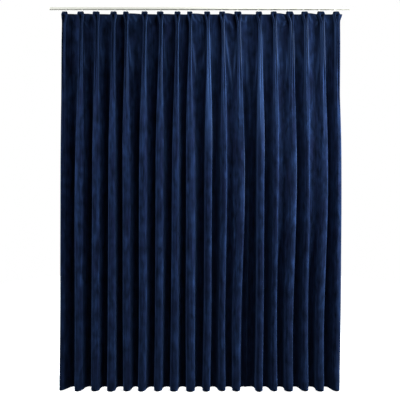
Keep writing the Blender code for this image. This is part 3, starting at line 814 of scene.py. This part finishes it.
# a shaded copy of the velvet with less sheen, painting shade over the heads' tops
shadedCapVelvet = velvetMaterial("shaded cap velvet", velvetLook, velvetLook["shadedCapSheen"])
velvet = velvetMaterial("navy velvet", velvetLook, velvetLook["sheen"])
makeDrape(shadedCapVelvet, velvet, velvetBackMaterial())
print("drape made")


# The heading tape: a woven strip with two cord channels and a row of hook pockets on its back
tape = {
    "thickness": 0.0009,
    "cordsAt": (0.009, 0.066),
    "cordHeight": 0.0011,
    "cordWidth": 0.0024,
    "pocketsFrom": 0.020,
    "pocketsTo": 0.056,
    "pocketRim": 0.003,
    "pocketPitch": 0.019,
    "pocketSides": (0.72, 0.9),
    "pocketHeight": 0.0007,
    "hookRoom": 0.006,
    "hookClear": 0.4,
    "columns": 420,
    "rows": 34,
    "white": (0.66, 0.66, 0.64),
    "shade": (0.50, 0.50, 0.50),
    "thread": (0.020, 0.030, 0.075),
    "stitchPitch": 0.0022,
    "stitchGap": 0.0006,
    "stitchWidth": 0.0004,
    "stitchRows": (0.003, 0.072),
}


def tapeRelief(x, down):
    # how far the tape's back stands out, never where a hook lies against it
    cords = sum(math.exp(-((down - place) / tape["cordWidth"]) ** 2) for place in tape["cordsAt"])
    phase = abs((x / tape["pocketPitch"]) % 1 - 0.5) * 2
    inRow = smoothStep(down, tape["pocketsFrom"], tape["pocketsFrom"] + tape["pocketRim"])
    inRow *= 1 - smoothStep(down, tape["pocketsTo"] - tape["pocketRim"], tape["pocketsTo"])
    pockets = inRow * (1 - smoothStep(phase, *tape["pocketSides"]))
    nearest = min(abs(x - fold["head"] * mm) for fold in folds)
    clear = smoothStep(nearest, tape["hookClear"] * tape["hookRoom"], tape["hookRoom"])
    return clear * (tape["cordHeight"] * cords + tape["pocketHeight"] * pockets)


def tapeMaterial():
    material, tree, shader = newMaterial("woven tape")
    flat = tree.nodes.new("ShaderNodeUVMap")
    flat.uv_map = "flat"
    heights = []
    for direction, scale in (("X", 330.0), ("Y", 420.0)):
        wave = addNode(tree, "ShaderNodeTexWave", {"bands_direction": direction}, {"Scale": scale})
        tree.links.new(flat.outputs["UV"], wave.inputs["Vector"])
        heights.append(wave.outputs["Fac"])
    weave = addNode(tree, "ShaderNodeMath", {"operation": "MULTIPLY"})
    tree.links.new(heights[0], weave.inputs[0])
    tree.links.new(heights[1], weave.inputs[1])
    colour = mixColours(tree, weave.outputs[0], tape["shade"], tape["white"])
    # two rows of stitches in dark thread, each a broken line along the tape
    place = addNode(tree, "ShaderNodeSeparateXYZ")
    tree.links.new(flat.outputs["UV"], place.inputs[0])
    dashes = addNode(tree, "ShaderNodeMath", {"operation": "PINGPONG"})
    dashes.inputs[1].default_value = tape["stitchPitch"]
    tree.links.new(place.outputs["X"], dashes.inputs[0])
    dashed = addNode(tree, "ShaderNodeMath", {"operation": "GREATER_THAN"})
    dashed.inputs[1].default_value = tape["stitchGap"]
    tree.links.new(dashes.outputs[0], dashed.inputs[0])
    for row in tape["stitchRows"]:
        near = addNode(tree, "ShaderNodeMath", {"operation": "COMPARE"})
        near.inputs[1].default_value = row
        near.inputs[2].default_value = tape["stitchWidth"]
        tree.links.new(place.outputs["Y"], near.inputs[0])
        stitch = addNode(tree, "ShaderNodeMath", {"operation": "MULTIPLY"})
        tree.links.new(near.outputs[0], stitch.inputs[0])
        tree.links.new(dashed.outputs[0], stitch.inputs[1])
        colour = mixColours(tree, stitch.outputs[0], colour, tape["thread"])
    tree.links.new(colour, shader.inputs["Base Color"])
    shader.inputs["Roughness"].default_value = 0.85
    shader.inputs["Specular IOR Level"].default_value = 0.3
    raised = addNode(tree, "ShaderNodeBump", None, {"Strength": 0.5, "Distance": 0.0002})
    tree.links.new(weave.outputs[0], raised.inputs["Height"])
    tree.links.new(raised.outputs["Normal"], shader.inputs["Normal"])
    return material


def makeTape(material):
    width, height = tapeHigh.x - tapeLow.x, tapeHigh.z - tapeLow.z
    columns, rows = tape["columns"], tape["rows"]
    bpy.ops.object.select_all(action="DESELECT")
    bpy.ops.mesh.primitive_grid_add(x_subdivisions=columns, y_subdivisions=rows, size=1)
    piece = bpy.context.object
    piece.name = "woven_tape"
    mesh = piece.data
    while mesh.uv_layers:
        mesh.uv_layers.remove(mesh.uv_layers[0])
    flatPlaces = []
    for vertex in mesh.vertices:
        x = tapeLow.x + (vertex.co.x + 0.5) * width
        down = (0.5 - vertex.co.y) * height
        middle = tapeLow.y + tape["thickness"] / 2
        vertex.co = (x, middle + tapeRelief(x, down), tapeHigh.z - down)
        flatPlaces.append((x - tapeLow.x, down))
    writeFlat(mesh, flatPlaces)
    mesh.materials.clear()
    mesh.materials.append(material)
    solid = piece.modifiers.new("thickness", "SOLIDIFY")
    solid.thickness = tape["thickness"]
    solid.offset = 0
    bpy.ops.object.modifier_apply(modifier=solid.name)
    bpy.ops.object.shade_smooth()
    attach(piece, "root")
    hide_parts("heading_tape")


makeTape(tapeMaterial())
print("tape made")


# Finishes for the rail and the fittings, with fine unevenness on the object's own coordinates
finishes = {
    "rail lacquer": {"colour": (0.53, 0.54, 0.49), "worn": (0.46, 0.47, 0.42), "roughness": 0.34,
                     "uneven": 0.12, "scale": 60.0, "stretch": (0.04, 1.0, 1.0), "relief": 0.00005},
    "white plastic": {"colour": (0.86, 0.86, 0.84), "worn": (0.80, 0.80, 0.77), "roughness": 0.42,
                      "uneven": 0.15, "scale": 420.0, "stretch": (1.0, 1.0, 1.0), "relief": 0.00004},
}


def finishMaterial(name):
    look = finishes[name]
    material, tree, shader = newMaterial(name)
    place = tree.nodes.new("ShaderNodeTexCoord")
    stretched = addNode(tree, "ShaderNodeVectorMath", {"operation": "MULTIPLY"})
    stretched.inputs[1].default_value = look["stretch"]
    tree.links.new(place.outputs["Object"], stretched.inputs[0])
    clouds = addNode(tree, "ShaderNodeTexNoise", None, {"Scale": look["scale"], "Detail": 4.0})
    tree.links.new(stretched.outputs["Vector"], clouds.inputs["Vector"])
    tree.links.new(mixColours(tree, clouds.outputs["Fac"], look["colour"], look["worn"]),
                   shader.inputs["Base Color"])
    gloss = addNode(tree, "ShaderNodeMapRange", None,
                    {"To Min": look["roughness"], "To Max": look["roughness"] + look["uneven"]})
    tree.links.new(clouds.outputs["Fac"], gloss.inputs["Value"])
    tree.links.new(gloss.outputs["Result"], shader.inputs["Roughness"])
    surface = addNode(tree, "ShaderNodeBump", None, {"Strength": 0.3, "Distance": look["relief"]})
    tree.links.new(clouds.outputs["Fac"], surface.inputs["Height"])
    tree.links.new(surface.outputs["Normal"], shader.inputs["Normal"])
    return material


def paint(names, material):
    for name in names:
        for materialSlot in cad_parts[name].material_slots:
            materialSlot.material = material


paint(["rail"], finishMaterial("rail lacquer"))
fittingNames = [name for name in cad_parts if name.startswith(("glider", "hook", "rail_cap"))]
paint(fittingNames, finishMaterial("white plastic"))
print("rail and fittings painted")


# Studio: pale floor, white backdrop light and soft lamps
studio = {
    "floorGap": 0.012,
    "floorRadius": 4.0,
    "skyLight": 0.16,
    "lamps": (
        {"name": "key", "place": (2.1, -0.72, -0.74), "aim": (0.5, 0, -1.42), "spread": 180, "size": 0.5,
         "power": 121},
        {"name": "fill", "place": (-2.05, -0.72, -0.4), "aim": (-0.5, 0, -1.2), "spread": 180, "size": 0.5,
         "power": 50},
        {"name": "top", "place": (0.45, -0.8, 1.0), "aim": (0.2, 0, -0.3), "spread": 180, "size": 0.8,
         "power": 34},
        {"name": "back", "place": (-1.2, 2.8, 0.4), "aim": (0, 0, -1.2), "spread": 180, "size": 1.8,
         "power": 60},
    ),
}


def makeFloor(settings):
    bpy.ops.mesh.primitive_circle_add(
        vertices=96, radius=settings["floorRadius"], fill_type="NGON",
        location=(0, 0, drapeLow.z - settings["floorGap"]))
    floor = bpy.context.object
    floor.name = "floor"
    material, tree, shader = newMaterial("pale floor")
    shader.inputs["Base Color"].default_value = (0.9, 0.9, 0.9, 1)
    shader.inputs["Roughness"].default_value = 0.9
    shader.inputs["Emission Color"].default_value = (1, 1, 1, 1)
    shader.inputs["Emission Strength"].default_value = 0.85
    floor.data.materials.append(material)
    floor.visible_diffuse = False
    floor.visible_glossy = False


def makeLamps(settings):
    for lamp in settings["lamps"]:
        data = bpy.data.lights.new(lamp["name"], "AREA")
        data.size = lamp["size"]
        data.energy = lamp["power"]
        data.spread = math.radians(lamp["spread"])
        item = bpy.data.objects.new(lamp["name"], data)
        item.location = lamp["place"]
        item.rotation_euler = (Vector(lamp["aim"]) - item.location).to_track_quat("-Z", "Y").to_euler()
        bpy.context.scene.collection.objects.link(item)


def makeSky(settings):
    world = bpy.data.worlds.new("studio")
    world.use_nodes = True
    tree = world.node_tree
    tree.nodes.clear()
    output = tree.nodes.new("ShaderNodeOutputWorld")
    seen = addNode(tree, "ShaderNodeBackground", None, {"Color": (1, 1, 1, 1), "Strength": 1.0})
    soft = addNode(tree, "ShaderNodeBackground", None,
                   {"Color": (1, 1, 1, 1), "Strength": settings["skyLight"]})
    ray = tree.nodes.new("ShaderNodeLightPath")
    choose = tree.nodes.new("ShaderNodeMixShader")
    tree.links.new(ray.outputs["Is Camera Ray"], choose.inputs[0])
    tree.links.new(soft.outputs[0], choose.inputs[1])
    tree.links.new(seen.outputs[0], choose.inputs[2])
    tree.links.new(choose.outputs[0], output.inputs["Surface"])
    bpy.context.scene.world = world


makeFloor(studio)
makeLamps(studio)
makeSky(studio)
bpy.context.scene.view_settings.view_transform = "Standard"
print("studio lit")
